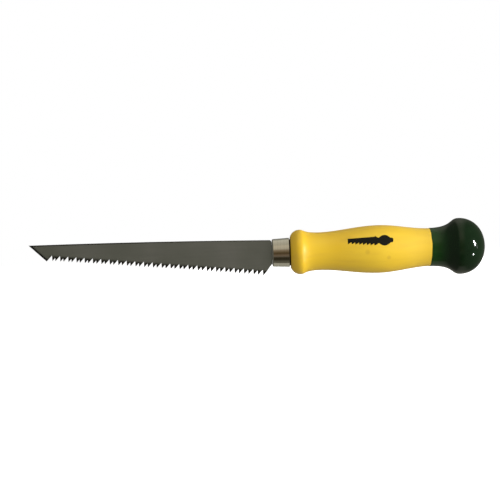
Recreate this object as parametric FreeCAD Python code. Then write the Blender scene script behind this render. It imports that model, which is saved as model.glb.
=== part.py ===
import FreeCAD, Part
import math
import os

# Drywall jab saw: a toothed steel blade whose tang is bonded into a turned wooden handle, with a
# drawn ferrule over the handle's tenon and a dip coat over the knob.
#
# The frame's origin is on the handle's axis, where the grip is fattest. +X runs along that axis to
# the butt, +Z is the spine side, and the blade lies in the XZ plane. All sizes are millimetres.

Vector = FreeCAD.Vector
X_AXIS = Vector(1, 0, 0)

# Blade
BLADE_T = 1.2
POINT = (-217.2, 10.3)
SPINE_MIDDLE = (-141.7, 9.75)
SPINE_END_Z = 8.1
SHOULDER_X = -65.6
SHOULDER_R = 1.5
HEEL_Z = -6.8
HEEL_ROOT_DX = 2.6
HEEL_HOLLOW = 0.15
FRONT_CORNER = (-206.3, 0.1)
GROUND_W = 2.0
GROUND_EDGE_T = 0.4
SPINE_CHAMFER = 0.25

# Teeth: filed in pairs, whose pitch and inner gap grow towards the heel
TOOTH_LINE_Z = -21.42
TOOTH_LINE_SLOPE = -0.1067
FIRST_TOOTH_X = -202.6
TOOTH_PAIRS = 24
PAIR_PITCH = 4.98
PAIR_PITCH_GROWTH = 0.0418
PAIR_GAP = 1.7
PAIR_GAP_GROWTH = 0.0435
LEADING_DEG = 87.0
TRAILING_DEG = 46.0
FLEAM_DEG = 18.0
SET = 0.2

# Tang
TANG_T = 1.0
TANG_END_X = -20.0
TANG_HALF_H = 4.5
TANG_END_HALF_H = 2.6
BARB_DEPTH = 0.6
BARB_LENGTH = 3.0
BARB_XS = (-50.0, -42.0, -34.0)

# Ferrule
FERRULE_X = (-65.5, -54.7)
FERRULE_R = (8.6, 9.12)
FERRULE_WALL = 0.8
FERRULE_NOSE_R = 0.9
FERRULE_LIP_R = 0.3
SLOT_CLEARANCE = 0.15

# Handle: stations of the turned profile, each (x, radius), with the reach of its curve on the side
# of the previous station and on the side of the next one. The first and last rise square to the axis.
BEAD_START = (-54.15, 9.3, 0.0, 0.5)
BEAD = (-48.0, 13.9, 4.7, 3.0)
NECK = (-36.0, 11.8, 9.9, 12.2)
SWELL = (0.8, 14.9, 14.0, 11.4)
DIP_LINE = (32.4, 11.96, 10.7, 15.4)
KNOB = (51.4, 17.5, 6.1, 8.8)
BUTT = (67.2, 0.0, 10.5, 0.0)
COAT_T = 0.3
COAT_STEP = 0.12
TENON_GAP = 0.1
TENON_CLEARANCE = 0.03
TENON_CHAMFER = 0.5
TANG_HOLE_R = 5.2
TANG_HOLE_END_X = -17.0
DRILL_POINT = 0.6


def point(x, z, y=0.0):
    return Vector(x, y, z)


def polygon_face(*corners):
    return Part.Face(Part.makePolygon([*corners, corners[0]]))


def turned(edges):
    """Solid of revolution about the handle's axis from edges that close on the axis."""
    wire = Part.Wire(edges)
    return Part.Face(wire).revolve(Vector(0, 0, 0), X_AXIS, 360)


def line(a, b):
    return Part.LineSegment(a, b).toShape()


def arc(start, middle, end):
    return Part.Arc(start, middle, end).toShape()


# ---- blade --------------------------------------------------------------------------------------

def tooth_tips():
    """The (x, z) of each tooth's point, from the front of the blade to the heel."""
    xs = []
    x = FIRST_TOOTH_X
    for pair in range(TOOTH_PAIRS):
        xs.append(x)
        xs.append(x + PAIR_GAP + PAIR_GAP_GROWTH * pair)
        x += PAIR_PITCH + PAIR_PITCH_GROWTH * pair
    xs.append(x)
    return [(x, TOOTH_LINE_Z + TOOTH_LINE_SLOPE * x) for x in xs]


def crossing(left, left_deg, right, right_deg):
    """Where the line through left at left_deg meets the line through right at right_deg."""
    slope_l = math.tan(math.radians(left_deg))
    slope_r = math.tan(math.radians(right_deg))
    x = (right[1] - left[1] + slope_l * left[0] - slope_r * right[0]) / (slope_l - slope_r)
    return x, left[1] + slope_l * (x - left[0])


def toothed_outline(y):
    """Tooth points and the gullets before them on the blade's face at this y.

    Each tooth is filed at the fleam angle, so it is full on one face and narrower on the other.
    """
    narrowing = BLADE_T * math.tan(math.radians(FLEAM_DEG))
    tips = tooth_tips()
    points = []
    gullets = []
    trailing_start = FRONT_CORNER
    for index, (x, z) in enumerate(tips):
        full_here = (index % 2 == 0) == (y < 0)
        inset = 0.0 if full_here else narrowing
        leading = (x + inset, z)
        trailing = (x - inset, z) if index < len(tips) - 1 else (x, z)
        gullets.append(crossing(trailing_start, TRAILING_DEG, leading, 180 - LEADING_DEG))
        points.append(crossing(leading, 180 - LEADING_DEG, trailing, TRAILING_DEG))
        trailing_start = trailing
    return points, gullets


def blade_rim():
    """Edges of the blade's outline that aren't teeth, on the near face, from the heel to the front."""
    y = -BLADE_T / 2
    last_x, last_z = tooth_tips()[-1]
    rise = math.tan(math.radians(TRAILING_DEG))
    heel_root = (last_x + HEEL_ROOT_DX, last_z + HEEL_ROOT_DX * rise)
    shoulder = (SHOULDER_X, HEEL_Z)
    heel_middle = ((heel_root[0] + shoulder[0]) / 2, (heel_root[1] + shoulder[1]) / 2 + HEEL_HOLLOW)
    corner_start = (SHOULDER_X, SPINE_END_Z - SHOULDER_R)
    corner_end = (SHOULDER_X - SHOULDER_R, SPINE_END_Z)
    reach = SHOULDER_R * (1 - math.sqrt(0.5))
    corner_middle = (SHOULDER_X - reach, SPINE_END_Z - reach)
    at = [point(*p, y) for p in (heel_root, heel_middle, shoulder, corner_start, corner_middle,
                                 corner_end, SPINE_MIDDLE, POINT, FRONT_CORNER)]
    return [
        arc(at[0], at[1], at[2]),
        line(at[2], at[3]),
        arc(at[3], at[4], at[5]),
        arc(at[5], at[6], at[7]),
        line(at[7], at[8]),
    ]


def tooth_faces(near, far):
    """The six triangles of one tooth, from its (gullet, point, next gullet) on each face."""
    faces = [polygon_face(*near), polygon_face(*far)]
    for a, b in ((0, 1), (1, 2)):
        faces.append(polygon_face(near[a], near[b], far[b]))
        faces.append(polygon_face(near[a], far[b], far[a]))
    return faces


def blade_strip():
    """The blade outside the handle, closed from its faces: two flats, the rim and every tooth."""
    rim = blade_rim()
    thickness = Vector(0, BLADE_T, 0)
    faces = [edge.extrude(thickness) for edge in rim]
    heel_root = rim[0].Vertexes[0].Point
    front = point(*FRONT_CORNER, -BLADE_T / 2)

    sides = []
    for y in (-BLADE_T / 2, BLADE_T / 2):
        tips, gullets = toothed_outline(y)
        roots = [point(*gullet, y) for gullet in gullets]
        offset = Vector(0, y + BLADE_T / 2, 0)
        roots.append(heel_root + offset)
        edges = [line(a, b) for a, b in zip(roots, roots[1:])]
        edges.append(line(front + offset, roots[0]))
        edges.extend(edge.translated(offset) for edge in rim)
        faces.append(Part.Face(Part.Wire(Part.__sortEdges__(edges))))
        points = [point(*tip, y + (-SET if index % 2 == 0 else SET)) for index, tip in enumerate(tips)]
        sides.append((roots, points))

    (near_roots, near_points), (far_roots, far_points) = sides
    faces.append(polygon_face(front, near_roots[0], far_roots[0]))
    faces.append(polygon_face(front, far_roots[0], front + thickness))
    for index in range(len(near_points)):
        near = (near_roots[index], near_points[index], near_roots[index + 1])
        far = (far_roots[index], far_points[index], far_roots[index + 1])
        faces.extend(tooth_faces(near, far))

    shell = Part.makeShell(faces)
    shell.sewShape()
    return Part.makeSolid(shell)


def ground_point(blade):
    """Grinds the slanted front edge thin from both faces."""
    start = point(*POINT)
    along = (point(*FRONT_CORNER) - start).normalize()
    inward = Vector(0, 1, 0).cross(along)
    if inward.x < 0:
        inward = inward * -1
    overrun = 3.0
    slope = (BLADE_T - GROUND_EDGE_T) / 2 / GROUND_W
    for side in (-1, 1):
        def wedge_corner(depth, y):
            return start - along * overrun + inward * depth + Vector(0, side * y, 0)
        deep = GROUND_W + 1
        wedge = polygon_face(
            wedge_corner(-1, GROUND_EDGE_T / 2 - slope),
            wedge_corner(deep, GROUND_EDGE_T / 2 + slope * deep),
            wedge_corner(-1, GROUND_EDGE_T / 2 + slope * deep),
        )
        length = (point(*FRONT_CORNER) - start).Length + 2 * overrun
        blade = blade.cut(wedge.extrude(along * length))
    return blade


def tang():
    """The tapered tang, notched on both edges so that the resin holds it."""
    start_x = SHOULDER_X - 0.5

    def half_height(x):
        share = (x - start_x) / (TANG_END_X - start_x)
        return TANG_HALF_H + share * (TANG_END_HALF_H - TANG_HALF_H)

    upper = [(start_x, half_height(start_x))]
    for x in BARB_XS:
        upper.append((x, half_height(x)))
        upper.append((x, half_height(x) - BARB_DEPTH))
        upper.append((x + BARB_LENGTH, half_height(x + BARB_LENGTH)))
    upper.append((TANG_END_X, TANG_END_HALF_H))
    lower = [(x, -z) for x, z in reversed(upper)]
    outline = polygon_face(*[point(x, z, -TANG_T / 2) for x, z in upper + lower])
    return outline.extrude(Vector(0, TANG_T, 0))


def make_blade():
    blade = blade_strip()
    spine = [edge for edge in blade.Edges if is_spine_edge(edge)]
    blade = blade.makeChamfer(SPINE_CHAMFER, spine)
    return ground_point(blade).fuse(tang())


def is_spine_edge(edge):
    """True for the two long edges of the spine and the rounded corner's two edges."""
    curved = isinstance(edge.Curve, Part.Circle)
    return curved and edge.BoundBox.ZMin > 0


# ---- ferrule and handle -------------------------------------------------------------------------

def ferrule_radius(x):
    share = (x - FERRULE_X[0]) / (FERRULE_X[1] - FERRULE_X[0])
    return FERRULE_R[0] + share * (FERRULE_R[1] - FERRULE_R[0])


def make_ferrule():
    """A drawn cup, open at the back, with the tang's slot through its closed front."""
    front, back = FERRULE_X
    inner_front = front + FERRULE_WALL
    nose = FERRULE_NOSE_R
    lip = FERRULE_LIP_R
    half = math.sqrt(0.5)
    nose_r = ferrule_radius(front + nose)
    back_r = ferrule_radius(back - lip)
    corners = [
        point(front, 0),
        point(front, nose_r - nose),
        point(front + nose * (1 - half), nose_r - nose * (1 - half)),
        point(front + nose, nose_r),
        point(back - lip, back_r),
        point(back - lip * (1 - half), back_r - lip * (1 - half)),
        point(back, back_r - lip),
        point(back, ferrule_radius(back) - FERRULE_WALL),
        point(inner_front, ferrule_radius(inner_front) - FERRULE_WALL),
        point(inner_front, 0),
    ]
    cup = turned([
        line(corners[0], corners[1]),
        arc(corners[1], corners[2], corners[3]),
        line(corners[3], corners[4]),
        arc(corners[4], corners[5], corners[6]),
        line(corners[6], corners[7]),
        line(corners[7], corners[8]),
        line(corners[8], corners[9]),
        line(corners[9], corners[0]),
    ])
    slot_t = TANG_T + 2 * SLOT_CLEARANCE
    slot_h = 2 * (TANG_HALF_H + SLOT_CLEARANCE)
    slot = Part.makeBox(3 * FERRULE_WALL, slot_t, slot_h,
                        Vector(front - FERRULE_WALL, -slot_t / 2, -slot_h / 2))
    return cup.cut(slot)


def profile_curves(stations, shrink=0.0):
    """Bezier curves through the stations, moved in towards the axis by shrink."""
    curves = []
    for (x0, r0, _, reach0), (x1, r1, reach1, _) in zip(stations, stations[1:]):
        start, end = point(x0, r0 - shrink), point(x1, r1 - shrink)
        if (x0, r0) == BEAD_START[:2]:
            start_pull = Vector(0, 0, reach0)
        else:
            start_pull = Vector(reach0, 0, 0)
        if (x1, r1) == BUTT[:2]:
            end = point(x1 - shrink, 0)
            end_pull = Vector(0, 0, reach1 - shrink)
        else:
            end_pull = Vector(-reach1, 0, 0)
        curve = Part.BezierCurve()
        curve.setPoles([start, start + start_pull, end + end_pull, end])
        curves.append(curve.toShape())
    return curves


def tang_hole():
    """The hole drilled into the tenon for the tang, with its drill point."""
    front = FERRULE_X[0] + FERRULE_WALL + TENON_GAP
    corners = [
        point(front, 0),
        point(front, TANG_HOLE_R),
        point(TANG_HOLE_END_X, TANG_HOLE_R),
        point(TANG_HOLE_END_X + TANG_HOLE_R * DRILL_POINT, 0),
    ]
    return turned([line(a, b) for a, b in zip(corners, corners[1:] + corners[:1])])


def make_handle():
    """The turned handle: tenon, bead, neck, swell, waist and the knob's core under its coat."""
    front = FERRULE_X[0] + FERRULE_WALL + TENON_GAP
    shoulder_x, shoulder_r = BEAD_START[:2]

    def tenon_radius(x):
        return ferrule_radius(x) - FERRULE_WALL - TENON_CLEARANCE

    corners = [
        point(front, 0),
        point(front, tenon_radius(front) - TENON_CHAMFER),
        point(front + TENON_CHAMFER, tenon_radius(front + TENON_CHAMFER)),
        point(shoulder_x, tenon_radius(shoulder_x)),
        point(shoulder_x, shoulder_r),
    ]
    edges = [line(a, b) for a, b in zip(corners, corners[1:])]
    dip_x, dip_r, reach = DIP_LINE[:3]
    edges += profile_curves([BEAD_START, BEAD, NECK, SWELL, (dip_x, dip_r - COAT_STEP, reach, 0.0)])
    edges.append(line(point(dip_x, dip_r - COAT_STEP), point(dip_x, dip_r - COAT_T)))
    edges += profile_curves([DIP_LINE, KNOB, BUTT], COAT_T)
    edges.append(line(point(BUTT[0] - COAT_T, 0), corners[0]))
    return turned(edges).cut(tang_hole())


def make_coat():
    """The dip coat: a thin skin over the knob, whose edge stands a little proud of the grip."""
    outer = profile_curves([DIP_LINE, KNOB, BUTT])
    inner = profile_curves([DIP_LINE, KNOB, BUTT], COAT_T)
    edges = outer + inner
    edges.append(line(point(BUTT[0], 0), point(BUTT[0] - COAT_T, 0)))
    edges.append(line(point(DIP_LINE[0], DIP_LINE[1] - COAT_T), point(*DIP_LINE[:2])))
    return turned(Part.__sortEdges__(edges))


def main():
    os.makedirs("parts", exist_ok=True)
    blade = make_blade()
    nodes = {
        "blade": blade,
        "ferrule": make_ferrule(),
        "handle": make_handle(),
        "butt_dip_coat": make_coat(),
        "tang_adhesive": tang_hole().cut(blade),
    }
    for name, shape in nodes.items():
        shape.exportStep(f"parts/{name}.step")
        print(name, shape.ShapeType, len(shape.Solids), shape.isValid(), round(shape.Volume, 1))


main()
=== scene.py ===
import math

import bmesh
import bpy
from mathutils import Matrix, Vector


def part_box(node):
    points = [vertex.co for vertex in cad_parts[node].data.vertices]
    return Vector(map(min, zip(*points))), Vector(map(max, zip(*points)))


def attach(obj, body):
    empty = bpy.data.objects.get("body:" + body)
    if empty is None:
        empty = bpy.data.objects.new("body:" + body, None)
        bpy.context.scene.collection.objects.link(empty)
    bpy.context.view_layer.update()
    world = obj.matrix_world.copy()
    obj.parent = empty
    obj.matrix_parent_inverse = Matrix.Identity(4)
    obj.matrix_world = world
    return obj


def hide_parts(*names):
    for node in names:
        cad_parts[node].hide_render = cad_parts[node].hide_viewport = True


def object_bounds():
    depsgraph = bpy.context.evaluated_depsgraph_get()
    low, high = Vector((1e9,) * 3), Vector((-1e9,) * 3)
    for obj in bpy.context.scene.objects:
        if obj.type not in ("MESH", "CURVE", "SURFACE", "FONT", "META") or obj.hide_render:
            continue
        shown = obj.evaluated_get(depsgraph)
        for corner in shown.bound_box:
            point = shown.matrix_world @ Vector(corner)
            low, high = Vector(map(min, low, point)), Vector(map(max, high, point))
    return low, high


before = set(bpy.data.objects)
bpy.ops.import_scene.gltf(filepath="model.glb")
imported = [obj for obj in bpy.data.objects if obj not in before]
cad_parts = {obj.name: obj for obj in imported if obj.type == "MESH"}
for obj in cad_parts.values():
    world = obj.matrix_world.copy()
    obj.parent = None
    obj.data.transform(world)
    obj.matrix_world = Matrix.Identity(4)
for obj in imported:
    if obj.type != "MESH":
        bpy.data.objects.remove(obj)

cad_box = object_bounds()

# A drywall jab saw in metres. +X runs along the handle's axis to the butt, +Z is the spine side,
# and the camera looks along +Y at the flat of the blade.

MM = 0.001

# Stations of the turned handle, each (x, radius), with the reach of its curve towards the previous
# station and towards the next one, in millimetres. The first and last rise square to the axis.
BEAD_START = (-54.15, 9.3, 0.0, 0.5)
BEAD = (-48.0, 13.9, 4.7, 3.0)
NECK = (-36.0, 11.8, 9.9, 12.2)
SWELL = (0.8, 14.9, 14.0, 11.4)
DIP_LINE = (32.4, 11.96, 10.7, 15.4)
KNOB = (51.4, 17.5, 6.1, 8.8)
BUTT = (67.2, 0.0, 10.5, 0.0)
COAT_T = 0.3
COAT_STEP = 0.12
COAT_LIP = 0.15
COAT_LAP = 1.6
TENON_R = 8.2
TENON_CHAMFER = 0.5
GROOVE_X = BEAD_START[0]
LATHE_SIDES = 192

# Two brown smudges on the near side of the grip: (centre), radius, in millimetres
SMUDGES = (
    ((-6.8, -14.7, -1.6), 2.2),
    ((6.3, -13.6, -5.5), 1.8),
)

# Printed mark on the grip, in millimetres: its ends, where its own handle begins, the back and the
# tooth tips of its blade at the point and at the heel, the middle of its handle and that handle's
# least and greatest half height, how far it stands proud, and its columns and rows of faces
MARK_X = (-18.7, 9.4)
MARK_GRIP_X = -2.0
MARK_BACK = (7.0, 7.7)
MARK_TIPS = (3.6, 2.1)
MARK_TOOTH_PITCH = 2.3
MARK_TOOTH_DEPTH = 1.5
MARK_GRIP_Z = 5.3
MARK_GRIP_HALF = (1.6, 3.3)
MARK_LIFT = 0.03
MARK_GRID = (140, 8)

# Line of the tooth points on the blade
TOOTH_LINE_Z = -21.42
TOOTH_LINE_SLOPE = -0.1067

# The painted shade on the teeth sets in between these places, in millimetres
TEETH_START_X = (-205.5, -203.5)

# The spine as a parabola: its start (x, z), slope there and bend per millimetre
SPINE_START = (-217.2, 10.3)
SPINE_SLOPE = -0.0001
SPINE_BEND = -0.000095

# The ground front edge: the direction into the blade from it, and its place along that direction
FRONT_INWARD = (0.683, 0.0, 0.730)
FRONT_OFFSET = -140.83

CAMERA_DISTANCE = 1.1
CAMERA_WIDTH = 0.3121
CAMERA_TARGET = Vector((-0.0792, 0.0, 0.0024))
CAMERA_ROLL = math.radians(-2.17)
SENSOR_MM = 36.0

LAMP_DISTANCE = 1.2
FLOOR_GAP = 0.001
FLOOR_SIZE = 8.0


# ---- mesh helpers -------------------------------------------------------------------------------

def add_object(name, mesh, material):
    """Puts a mesh into the scene as a piece on the root body."""
    piece = bpy.data.objects.new(name, mesh)
    bpy.context.scene.collection.objects.link(piece)
    mesh.materials.append(material)
    for polygon in mesh.polygons:
        polygon.use_smooth = True
    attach(piece, "root")
    return piece


def bezier(p0, p1, p2, p3, steps):
    """Points along one cubic curve, without its last point."""
    points = []
    for step in range(steps):
        t = step / steps
        s = 1 - t
        weights = (s ** 3, 3 * s * s * t, 3 * s * t * t, t ** 3)
        points.append(tuple(sum(w * p[axis] for w, p in zip(weights, (p0, p1, p2, p3)))
                            for axis in (0, 1)))
    return points


def turned_profile(stations, shrink=0.0, steps=40):
    """(x, radius) points in millimetres through the stations, moved in by shrink.

    The profile leaves the bead's first station and meets the butt square to the axis, and runs level
    through the other stations.
    """
    points = []
    for (x0, r0, _, reach0), (x1, r1, reach1, _) in zip(stations, stations[1:]):
        start = (x0, r0 - shrink)
        end = (x1, r1 - shrink)
        pull0 = (x0, r0 - shrink + reach0) if (x0, r0) == BEAD_START[:2] else (x0 + reach0, r0 - shrink)
        pull1 = (x1 - reach1, r1 - shrink)
        if (x1, r1) == BUTT[:2]:
            end = (x1 - shrink, 0.0)
            pull1 = (x1 - shrink, reach1 - shrink)
        points += bezier(start, pull0, pull1, end, steps)
    points.append(end)
    return points


def lathe_mesh(name, profile, shift=None):
    """Closed solid of revolution about X from (x, radius) points in millimetres.

    shift(x, angle) moves a point along the axis, in millimetres.
    """
    bm = bmesh.new()
    rings = []
    for x, r in profile:
        if r < 1e-6:
            rings.append([bm.verts.new((x * MM, 0, 0))])
            continue
        ring = []
        for side in range(LATHE_SIDES):
            angle = 2 * math.pi * side / LATHE_SIDES
            dx = shift(x, angle) if shift else 0.0
            ring.append(bm.verts.new(((x + dx) * MM, -r * math.cos(angle) * MM, r * math.sin(angle) * MM)))
        rings.append(ring)
    closed = rings + [rings[0]] if len(rings[0]) > 1 and len(rings[-1]) > 1 else rings
    for a, b in zip(closed, closed[1:]):
        for side in range(LATHE_SIDES):
            nxt = (side + 1) % LATHE_SIDES
            corners = [a[side % len(a)], a[nxt % len(a)], b[nxt % len(b)], b[side % len(b)]]
            face = list(dict.fromkeys(corners))
            if len(face) > 2:
                bm.faces.new(face)
    bmesh.ops.recalc_face_normals(bm, faces=bm.faces)
    mesh = bpy.data.meshes.new(name)
    bm.to_mesh(mesh)
    bm.free()
    return mesh


# ---- materials ----------------------------------------------------------------------------------

class Nodes:
    """Small wrapper that makes a node tree's nodes and links in one line each."""

    def __init__(self, owner):
        owner.use_nodes = True
        self.owner = owner
        self.tree = owner.node_tree
        self.shader = self.tree.nodes.get("Principled BSDF")

    def add(self, kind, **values):
        node = self.tree.nodes.new(kind)
        for key, value in values.items():
            setattr(node, key, value)
        return node

    def feed(self, node, socket, value):
        """Links an output socket, or sets a plain value."""
        if isinstance(value, bpy.types.NodeSocket):
            self.tree.links.new(value, node.inputs[socket])
        else:
            node.inputs[socket].default_value = value

    def set(self, **values):
        for key, value in values.items():
            self.feed(self.shader, key.replace("_", " "), value)

    def math(self, operation, a, b=0.0, c=0.0):
        node = self.add("ShaderNodeMath", operation=operation)
        for socket, value in enumerate((a, b, c)):
            self.feed(node, socket, value)
        return node.outputs[0]

    def place(self):
        return self.add("ShaderNodeTexCoord").outputs["Object"]

    def axis(self, name):
        """X, Y or Z of the object's own coordinates."""
        node = self.add("ShaderNodeSeparateXYZ")
        self.feed(node, 0, self.place())
        return node.outputs[name]

    def stretched(self, scale):
        node = self.add("ShaderNodeMapping")
        self.feed(node, "Vector", self.place())
        self.feed(node, "Scale", scale)
        return node.outputs[0]

    def noise(self, vector, scale, detail=3.0):
        node = self.add("ShaderNodeTexNoise")
        self.feed(node, "Vector", vector)
        self.feed(node, "Scale", scale)
        self.feed(node, "Detail", detail)
        return node.outputs["Fac"]

    def ramp(self, value, stops):
        """Colour ramp from (position, colour) stops."""
        node = self.add("ShaderNodeValToRGB")
        self.feed(node, "Fac", value)
        elements = node.color_ramp.elements
        while len(elements) < len(stops):
            elements.new(0.5)
        for element, (position, colour) in zip(elements, stops):
            element.position = position
            element.color = (*colour, 1.0)
        return node.outputs["Color"]

    def mix(self, factor, a, b):
        node = self.add("ShaderNodeMix", data_type="RGBA")
        self.feed(node, 0, factor)
        self.feed(node, 6, a)
        self.feed(node, 7, b)
        return node.outputs[2]

    def range(self, value, low, high, out_low=0.0, out_high=1.0):
        node = self.add("ShaderNodeMapRange", interpolation_type="SMOOTHSTEP")
        for socket, number in enumerate((value, low, high, out_low, out_high)):
            self.feed(node, socket, number)
        return node.outputs[0]

    def bump(self, height, strength, distance):
        node = self.add("ShaderNodeBump")
        self.feed(node, "Height", height)
        self.feed(node, "Strength", strength)
        self.feed(node, "Distance", distance)
        self.feed(self.shader, "Normal", node.outputs[0])


def narrow_faces(n):
    """Mask of the faces that don't lie in the blade's flat, which get painted shade."""
    facing = n.add("ShaderNodeSeparateXYZ")
    n.feed(facing, 0, n.add("ShaderNodeNewGeometry").outputs["True Normal"])
    return n.range(n.math("ABSOLUTE", facing.outputs["Y"]), 0.9, 0.97, 1.0, 0.0)


def teeth_shade(n):
    """Mask of painted shade on the teeth, and under the front corner."""
    tooth_line = n.math("MULTIPLY_ADD", n.axis("X"), TOOTH_LINE_SLOPE, TOOTH_LINE_Z * MM)
    above_tips = n.math("SUBTRACT", n.axis("Z"), tooth_line)
    teeth = n.range(above_tips, 1.9 * MM, 4.0 * MM, 1.0, 0.0)
    teeth = n.math("MULTIPLY", teeth, n.range(n.axis("X"), *(x * MM for x in TEETH_START_X)))
    return n.math("MAXIMUM", teeth, n.range(above_tips, 0.7 * MM, 1.5 * MM, 1.0, 0.0))


def front_edge_shade(n):
    """Mask of a painted shade line along the ground front edge."""
    inward = n.add("ShaderNodeVectorMath", operation="DOT_PRODUCT")
    n.feed(inward, 0, n.place())
    n.feed(inward, 1, FRONT_INWARD)
    from_edge = n.math("SUBTRACT", inward.outputs["Value"], FRONT_OFFSET * MM)
    return n.range(from_edge, 0.95 * MM, 1.35 * MM, 1.0, 0.0)


def spine_shade(n):
    """Mask of painted shade along the spine's top edge, which fades towards the heel."""
    along = n.math("SUBTRACT", n.axis("X"), SPINE_START[0] * MM)
    fall = n.math("MULTIPLY_ADD", along, SPINE_BEND / MM, SPINE_SLOPE)
    spine = n.math("MULTIPLY_ADD", along, fall, SPINE_START[1] * MM)
    scale = n.range(n.math("SUBTRACT", spine, n.axis("Z")), 0.5 * MM, 0.95 * MM, 1.0, 0.0)
    return n.math("MULTIPLY", scale, n.range(along, 40 * MM, 150 * MM, 0.9, 0.3))


def blade_steel():
    """Dark rolled steel: flats with a faint grain, and painted shade on the narrow faces, teeth, front edge
    and spine.
    """
    n = Nodes(bpy.data.materials.new("blade_steel"))
    grain = n.noise(n.stretched((40, 400, 900)), 1.0, detail=4.0)
    patches = n.noise(n.place(), 26.0)
    flat = n.ramp(patches, [(0.35, (0.118, 0.124, 0.100)), (0.65, (0.146, 0.146, 0.124))])
    flat = n.mix(n.range(grain, 0.35, 0.75, 0.0, 0.25), flat, (0.108, 0.110, 0.095, 1.0))
    # Painted shade: the narrow faces, the teeth, the front edge and the spine's top edge are painted
    # near-black.
    dark = narrow_faces(n)
    for mask in (teeth_shade, front_edge_shade, spine_shade):
        dark = n.math("MAXIMUM", dark, mask(n))
    n.set(Base_Color=n.mix(dark, flat, (0.008, 0.008, 0.006, 1.0)))
    n.set(Metallic=0.4, Roughness=n.range(patches, 0.25, 0.75, 0.28, 0.36))
    n.bump(grain, 0.06, 0.0002)
    return n.owner


def plated_steel():
    n = Nodes(bpy.data.materials.new("plated_steel"))
    rings = n.noise(n.stretched((6000, 60, 60)), 1.0, detail=2.0)
    n.set(Base_Color=n.mix(n.range(rings, 0.3, 0.7), (0.64, 0.61, 0.55, 1.0), (0.72, 0.69, 0.63, 1.0)))
    n.set(Metallic=1.0, Roughness=n.range(rings, 0.2, 0.8, 0.10, 0.15))
    n.bump(rings, 0.12, 0.0001)
    return n.owner


def yellow_lacquered_wood():
    """Lacquered wood, paler and bluer near the butt as a painted sheen, with faint grain, two smudges and
    painted shade in the groove in front.
    """
    n = Nodes(bpy.data.materials.new("yellow_lacquered_wood"))
    grain = n.noise(n.stretched((25, 260, 260)), 1.0, detail=4.0)
    cloud = n.noise(n.place(), 28.0, detail=2.0)
    blotches = n.noise(n.stretched((70, 150, 150)), 1.0, detail=3.0)
    paint = n.ramp(cloud, [(0.3, (0.735, 0.455, 0.016)), (0.7, (0.80, 0.53, 0.027))])
    paint = n.mix(n.range(grain, 0.45, 0.75, 0.0, 0.38), paint, (0.66, 0.40, 0.030, 1.0))
    paint = n.mix(n.range(blotches, 0.62, 0.74, 0.0, 0.16), paint, (0.45, 0.24, 0.030, 1.0))
    # Painted sheen: the paint turns paler and bluer towards the butt.
    paint = n.mix(n.range(n.axis("X"), 8 * MM, 28 * MM, 0.0, 0.3), paint, (0.80, 0.53, 0.065, 1.0))
    for centre, radius in SMUDGES:
        away = n.add("ShaderNodeVectorMath", operation="DISTANCE")
        n.feed(away, 0, n.place())
        n.feed(away, 1, [value * MM for value in centre])
        near = n.range(away.outputs["Value"], 0.3 * radius * MM, radius * MM, 0.25, 0.0)
        paint = n.mix(near, paint, (0.42, 0.20, 0.020, 1.0))
    # Painted shade: the groove between the ferrule and the bead is painted dark brown.
    groove = n.range(n.axis("X"), GROOVE_X * MM, (GROOVE_X + 0.4) * MM, 1.0, 0.0)
    n.set(Base_Color=n.mix(groove, paint, (0.035, 0.018, 0.006, 1.0)))
    n.set(Roughness=n.range(cloud, 0.3, 0.7, 0.38, 0.46))
    n.bump(grain, 0.05, 0.0004)
    return n.owner


def green_dip():
    """Dark dip paint, greener where it thins towards its edge."""
    n = Nodes(bpy.data.materials.new("green_dip"))
    cloud = n.noise(n.place(), 60.0, detail=2.0)
    deep = n.ramp(cloud, [(0.3, (0.004, 0.012, 0.004)), (0.7, (0.006, 0.017, 0.006))])
    thin = n.ramp(cloud, [(0.3, (0.007, 0.036, 0.006)), (0.7, (0.011, 0.044, 0.009))])
    n.set(Base_Color=n.mix(n.range(n.axis("X"), 32 * MM, 46 * MM), thin, deep))
    n.set(Roughness=0.09, Specular_IOR_Level=0.33)
    n.bump(cloud, 0.05, 0.0004)
    return n.owner


def black_ink():
    n = Nodes(bpy.data.materials.new("black_ink"))
    speckle = n.noise(n.place(), 2500.0, detail=2.0)
    n.set(Base_Color=n.ramp(speckle, [(0.35, (0.003, 0.003, 0.002)), (0.8, (0.010, 0.009, 0.004))]))
    n.set(Roughness=0.5, Specular_IOR_Level=0.2)
    return n.owner


def resin():
    n = Nodes(bpy.data.materials.new("resin"))
    cloud = n.noise(n.place(), 300.0)
    n.set(Base_Color=n.ramp(cloud, [(0.3, (0.45, 0.33, 0.14)), (0.7, (0.6, 0.47, 0.24))]))
    n.set(Roughness=n.range(cloud, 0.2, 0.8, 0.3, 0.5))
    return n.owner


# ---- pieces -------------------------------------------------------------------------------------

def repaint(node, material):
    """Gives a CAD node its material."""
    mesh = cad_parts[node].data
    mesh.materials.clear()
    mesh.materials.append(material)


def make_handle(material):
    """The turned wood: the tenon inside the ferrule, the grip and the core under the coat."""
    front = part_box("handle")[0][0] / MM
    dip_x, dip_r, reach = DIP_LINE[:3]
    grip_end = (dip_x, dip_r - COAT_STEP, reach, 0.0)
    under_coat = dip_x + COAT_LAP
    profile = [(front, 0.0), (front, TENON_R - TENON_CHAMFER)]
    profile += [(front + TENON_CHAMFER, TENON_R), (BEAD_START[0], TENON_R)]
    profile += turned_profile([BEAD_START, BEAD, NECK, SWELL, grip_end])
    profile.append((under_coat - 0.1, dip_r - COAT_STEP))
    profile += [p for p in turned_profile([DIP_LINE, KNOB, BUTT], COAT_T) if p[0] > under_coat]
    piece = add_object("turned_handle", lathe_mesh("turned_handle", profile), material)
    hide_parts("handle")


def dip_shift(x, angle):
    """The handle was dipped a little askew, so the coat's edge leans towards the butt in front."""
    fade = max(0.0, 1 - (x - DIP_LINE[0]) / 8.0)
    wander = 0.06 * math.sin(5 * angle + 1) + 0.05 * math.sin(9 * angle)
    return fade * (1.0 * math.cos(angle) + 0.26 * math.sin(angle)) + fade ** 4 * wander


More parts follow.
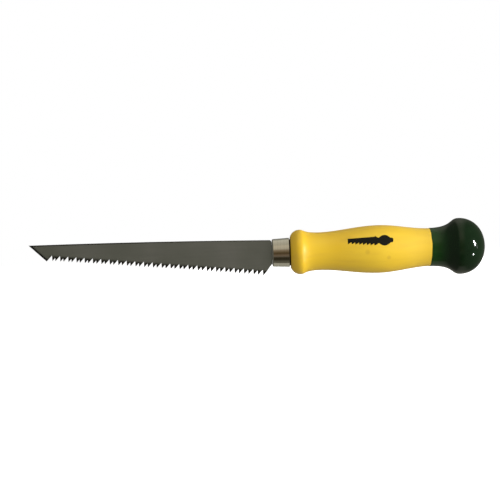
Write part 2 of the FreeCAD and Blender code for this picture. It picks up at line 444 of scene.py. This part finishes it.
def make_coat(material):
    """The dip coat, with a rounded edge that stands a little proud of the grip."""
    dip_x, dip_r = DIP_LINE[:2]
    profile = [(dip_x, dip_r - COAT_T)]
    for step in range(5):
        turn = math.pi / 2 * step / 4
        profile.append((dip_x + COAT_LIP * (1 - math.cos(turn)), dip_r - COAT_LIP * (1 - math.sin(turn))))
    outer = turned_profile([DIP_LINE, KNOB, BUTT])
    profile += [p for p in outer if p[0] > dip_x + COAT_LIP]
    piece = add_object("green_dip_skin", lathe_mesh("green_dip_skin", profile, dip_shift), material)
    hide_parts("butt_dip_coat")


def mark_band(x):
    """Lower and upper edge of the printed saw, in millimetres above the axis, at this x."""
    if x < MARK_GRIP_X:
        share = (x - MARK_X[0]) / (MARK_GRIP_X - MARK_X[0])
        tooth = MARK_TOOTH_DEPTH * ((x - MARK_X[0]) / MARK_TOOTH_PITCH % 1.0)
        low, high = (a + (b - a) * share for a, b in (MARK_TIPS, MARK_BACK))
        return low + tooth, high
    share = min(1.0, (x - MARK_GRIP_X) / (MARK_X[1] - MARK_GRIP_X))
    thin, fat = MARK_GRIP_HALF
    wave = abs(math.cos(1.5 * math.pi * (share + 0.14)))
    half = (thin + (fat - thin) * wave) * math.sqrt(1 - share ** 8)
    return MARK_GRIP_Z - half, MARK_GRIP_Z + half


def make_mark(material):
    """A small plain pictogram of a saw, printed on the grip's near side."""
    profile = turned_profile([BEAD_START, BEAD, NECK, SWELL, DIP_LINE])
    columns, rows = MARK_GRID
    bm = bmesh.new()
    grid = []
    for column in range(columns + 1):
        x = MARK_X[0] + (MARK_X[1] - MARK_X[0]) * column / columns
        after = next(i for i, p in enumerate(profile) if p[0] > x)
        (xa, ra), (xb, rb) = profile[after - 1:after + 1]
        radius = ra + (rb - ra) * (x - xa) / (xb - xa) + MARK_LIFT
        low, high = mark_band(x)
        heights = [low + (high - low) * row / rows for row in range(rows + 1)]
        grid.append([bm.verts.new((x * MM, -math.sqrt(radius ** 2 - z ** 2) * MM, z * MM)) for z in heights])
    for left, right in zip(grid, grid[1:]):
        for row in range(rows):
            bm.faces.new((left[row], right[row], right[row + 1], left[row + 1]))
    mesh = bpy.data.meshes.new("grip_mark")
    bm.to_mesh(mesh)
    bm.free()
    add_object("grip_mark", mesh, material)


# ---- scene --------------------------------------------------------------------------------------

def make_camera():
    data = bpy.data.cameras.new("camera")
    data.sensor_width = SENSOR_MM
    data.lens = SENSOR_MM * CAMERA_DISTANCE / CAMERA_WIDTH
    data.clip_start = 0.01
    data.clip_end = 50
    camera = bpy.data.objects.new("camera", data)
    place = CAMERA_TARGET + Vector((0, -CAMERA_DISTANCE, 0))
    upright = Matrix.Rotation(math.pi / 2, 4, "X")
    camera.matrix_world = Matrix.Translation(place) @ upright @ Matrix.Rotation(CAMERA_ROLL, 4, "Z")
    bpy.context.scene.collection.objects.link(camera)
    bpy.context.scene.camera = camera


def area_light(name, place, size, power, roll=0.0, glint=False):
    """A lamp aimed at the handle: a soft, shadowless one for matt surfaces, or one for glints only."""
    data = bpy.data.lights.new(name, "AREA")
    data.shape = "RECTANGLE"
    data.size, data.size_y = size
    data.energy = power
    data.use_shadow = glint
    light = bpy.data.objects.new(name, data)
    aim = (-place).to_track_quat("-Z", "Y").to_matrix().to_4x4()
    light.matrix_world = Matrix.Translation(place) @ aim @ Matrix.Rotation(roll, 4, "Z")
    light.visible_glossy = glint
    light.visible_diffuse = not glint
    bpy.context.scene.collection.objects.link(light)


# The room that the object reflects, by the angle in degrees up from the camera's side: bright
# overhead (90) and low behind (-150 to -98), and dimmer in front (0), below (-90) and behind (180).
ROOM = (
    (-180, (0.12, 0.12, 0.10)),
    (-150, (0.36, 0.36, 0.30)),
    (-98, (0.42, 0.41, 0.34)),
    (-89, (0.085, 0.08, 0.055)),
    (-75, (0.115, 0.11, 0.08)),
    (-60, (0.035, 0.03, 0.018)),
    (-41, (0.035, 0.028, 0.015)),
    (-31, (0.15, 0.125, 0.09)),
    (-21, (0.18, 0.13, 0.085)),
    (-6, (0.08, 0.052, 0.022)),
    (3, (0.14, 0.10, 0.05)),
    (20, (0.28, 0.22, 0.15)),
    (32, (0.52, 0.47, 0.36)),
    (52, (0.60, 0.54, 0.41)),
    (70, (0.49, 0.46, 0.36)),
    (116, (0.62, 0.60, 0.50)),
    (150, (0.16, 0.16, 0.14)),
    (180, (0.12, 0.12, 0.10)),
)
ROOM_SIDES = (0.13, 0.13, 0.11, 1.0)
SOFT_LIGHT = (0.47, 0.46, 0.44, 1.0)


def make_world():
    """White to the camera, even soft light on matt surfaces, and the room in reflections."""
    world = bpy.data.worlds.new("studio")
    bpy.context.scene.world = world
    n = Nodes(world)
    n.tree.nodes.clear()
    way = n.add("ShaderNodeSeparateXYZ")
    n.feed(way, 0, n.add("ShaderNodeTexCoord").outputs["Generated"])
    ahead = n.math("MULTIPLY", way.outputs["Y"], -1.0)
    angle = n.math("ARCTAN2", way.outputs["Z"], ahead)
    turn = n.math("MULTIPLY_ADD", angle, 1 / (2 * math.pi), 0.5)
    band = n.ramp(turn, [(degrees / 360 + 0.5, colour) for degrees, colour in ROOM])
    side = n.range(n.math("ABSOLUTE", way.outputs["X"]), 0.12, 0.42)
    ray = n.add("ShaderNodeLightPath")
    colour = n.mix(side, band, ROOM_SIDES)
    colour = n.mix(ray.outputs["Is Diffuse Ray"], colour, SOFT_LIGHT)
    colour = n.mix(ray.outputs["Is Camera Ray"], colour, (1, 1, 1, 1))
    light = n.add("ShaderNodeBackground")
    n.feed(light, "Color", colour)
    n.feed(n.add("ShaderNodeOutputWorld"), 0, light.outputs[0])


def lamp_place(right_deg, up_deg):
    """A place at a lamp's distance from the handle, turned right and up from straight ahead."""
    right, up = math.radians(right_deg), math.radians(up_deg)
    way = Vector((math.sin(right) * math.cos(up), -math.cos(right) * math.cos(up), math.sin(up)))
    return way * LAMP_DISTANCE


def make_lights():
    slant = math.radians(28)
    area_light("key_lamp", lamp_place(69, 3.5), (0.3, 0.3), 18.8)
    area_light("side_fill", lamp_place(38, -4), (0.5, 0.5), 3.2)
    area_light("back_fill", lamp_place(160, 25), (0.8, 0.8), 6)
    area_light("top_fill", lamp_place(0, 65), (1.0, 1.0), 2.8)
    area_light("key_glint", lamp_place(68, 7), (0.09, 0.34), 24, slant, glint=True)
    area_light("low_glint", lamp_place(69, -28), (0.09, 0.09), 3, glint=True)
    area_light("faint_glint", lamp_place(80, 0), (0.07, 0.40), 0.3, slant, glint=True)


def make_floor():
    """A pale floor, bright enough to run into the white behind it, that adds no light to the object."""
    bpy.ops.mesh.primitive_plane_add(size=FLOOR_SIZE, location=(0, 0, cad_box[0][2] - FLOOR_GAP))
    floor = bpy.context.object
    floor.name = "floor"
    n = Nodes(bpy.data.materials.new("floor"))
    n.set(Base_Color=(0.8, 0.8, 0.8, 1.0), Roughness=0.9, Specular_IOR_Level=0.0)
    n.set(Emission_Color=(1, 1, 1, 1), Emission_Strength=0.75)
    floor.data.materials.append(n.owner)
    floor.visible_diffuse = False
    floor.visible_glossy = False
    floor.visible_shadow = False


def main():
    bpy.context.scene.view_settings.view_transform = "Standard"
    repaint("blade", blade_steel())
    repaint("ferrule", plated_steel())
    repaint("tang_adhesive", resin())
    make_handle(yellow_lacquered_wood())
    make_coat(green_dip())
    make_mark(black_ink())
    make_camera()
    make_world()
    make_lights()
    make_floor()


main()
